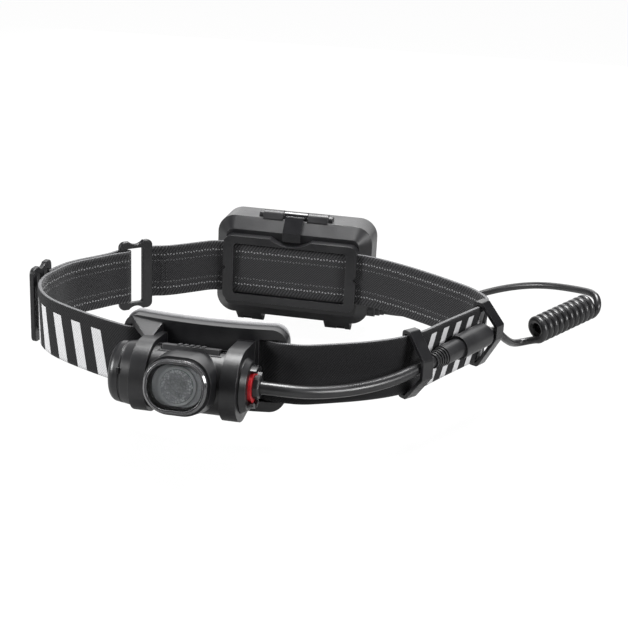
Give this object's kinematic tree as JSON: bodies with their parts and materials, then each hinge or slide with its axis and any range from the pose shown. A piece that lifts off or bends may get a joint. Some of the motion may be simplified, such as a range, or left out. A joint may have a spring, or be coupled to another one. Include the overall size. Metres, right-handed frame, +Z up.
{
  "type": "headlamp",
  "caption": "Headlamp with a tilting lamp head on a forehead bracket, an elastic strap, and a rear battery pack joined by a plug-in coiled cable.",
  "frame": {"origin": "centre of the head opening, level with the middle of the strap's width", "axes": "+Z up along the wearer's head, -Y towards the front, where the lamp shines, +X to the right of someone who faces the lamp"},
  "size_m": [0.2495, 0.1988, 0.0597],
  "materials": {
    "housing_plastic": "fine moulded grain, near black",
    "crown_plastic": "fine moulded grain, near black",
    "gloss_plastic": "polished black",
    "clip_plastic": "smooth moulded, near black",
    "button_rubber": "soft-touch dark grey",
    "seal_rubber": "plain black",
    "red_seal": "plain red",
    "cable_rubber": "smooth, slightly glossy dark grey",
    "connector_plastic": "moulded, satin black",
    "webbing": "woven elastic, dark with a pale geometric print outside and stitch lines inside",
    "pad_foam": "soft foam faced with grey fabric",
    "clear_lens": "clear",
    "clear_optic": "clear, textured front",
    "holder_plastic": "grey, satin",
    "circuit_board": "green solder mask",
    "led_package": "yellow phosphor",
    "switch_body": "black",
    "sink_aluminium": "bead blasted",
    "steel": "plain",
    "contact_brass": "plated",
    "cell_jacket": "metal cans in plain grey sleeves"
  },
  "bodies": {
    "headband": {"forehead_bracket": "housing_plastic", "forehead_pad": "pad_foam", "strap_front": "webbing", "strap_left": "webbing", "strap_tail": "webbing", "strap_right": "webbing", "strap_rear": "webbing", "rear_ring": "housing_plastic", "strap_slider": "housing_plastic", "front_cable_clip": "clip_plastic", "side_cable_clip": "clip_plastic", "lamp_cable": "cable_rubber", "cable_plug": "connector_plastic", "cable_socket": "connector_plastic", "coil_near_lead": "cable_rubber", "coiled_cable": "cable_rubber", "coil_far_lead": "cable_rubber", "strap_frame": "housing_plastic", "pack_case": "housing_plastic", "latch_pin": "steel", "cover_hinge_pins": "steel", "cell_tray": "housing_plastic", "battery_cells": "cell_jacket", "cell_contacts": "contact_brass", "pack_board": "circuit_board", "pack_seal": "seal_rubber", "pack_gland": "seal_rubber"},
    "lamp_head": {"front_housing": "housing_plastic", "rear_housing": "housing_plastic", "front_bezel": "gloss_plastic", "lens_gasket": "seal_rubber", "front_lens": "clear_lens", "beam_optic": "clear_optic", "optic_holder": "holder_plastic", "led_board": "circuit_board", "led_emitter": "led_package", "heat_sink": "sink_aluminium", "driver_board": "circuit_board", "button_switch": "switch_body", "left_end_cap": "housing_plastic", "right_end_cap": "crown_plastic", "left_tilt_washer": "seal_rubber", "right_tilt_washer": "seal_rubber", "cap_screws": "steel", "cable_seal": "red_seal", "cable_gland": "seal_rubber"},
    "power_button": {"power_button": "button_rubber"},
    "pack_cover": {"pack_cover": "housing_plastic"},
    "pack_latch": {"pack_latch": "gloss_plastic"}
  },
  "joints": [
    {"name": "lamp_tilt", "type": "hinge", "parent": "headband", "child": "lamp_head", "pos_m": [-0.0095, -0.08, 0], "axis": [1, 0, 0], "range_deg": [-12, 70]},
    {"name": "power_button_press", "type": "slide", "parent": "lamp_head", "child": "power_button", "axis": [0, -0.2419, -0.9703], "range_m": [0, 0.0008], "stiffness_N_per_m": 600},
    {"name": "pack_latch_swing", "type": "hinge", "parent": "headband", "child": "pack_latch", "pos_m": [-0.0025, 0.075, 0.0244], "axis": [-1, 0, 0], "range_deg": [0, 100]},
    {"name": "pack_cover_swing", "type": "hinge", "parent": "headband", "child": "pack_cover", "pos_m": [-0.0025, 0.08, -0.0292], "axis": [-1, 0, 0], "range_deg": [0, 110]}
  ]
}
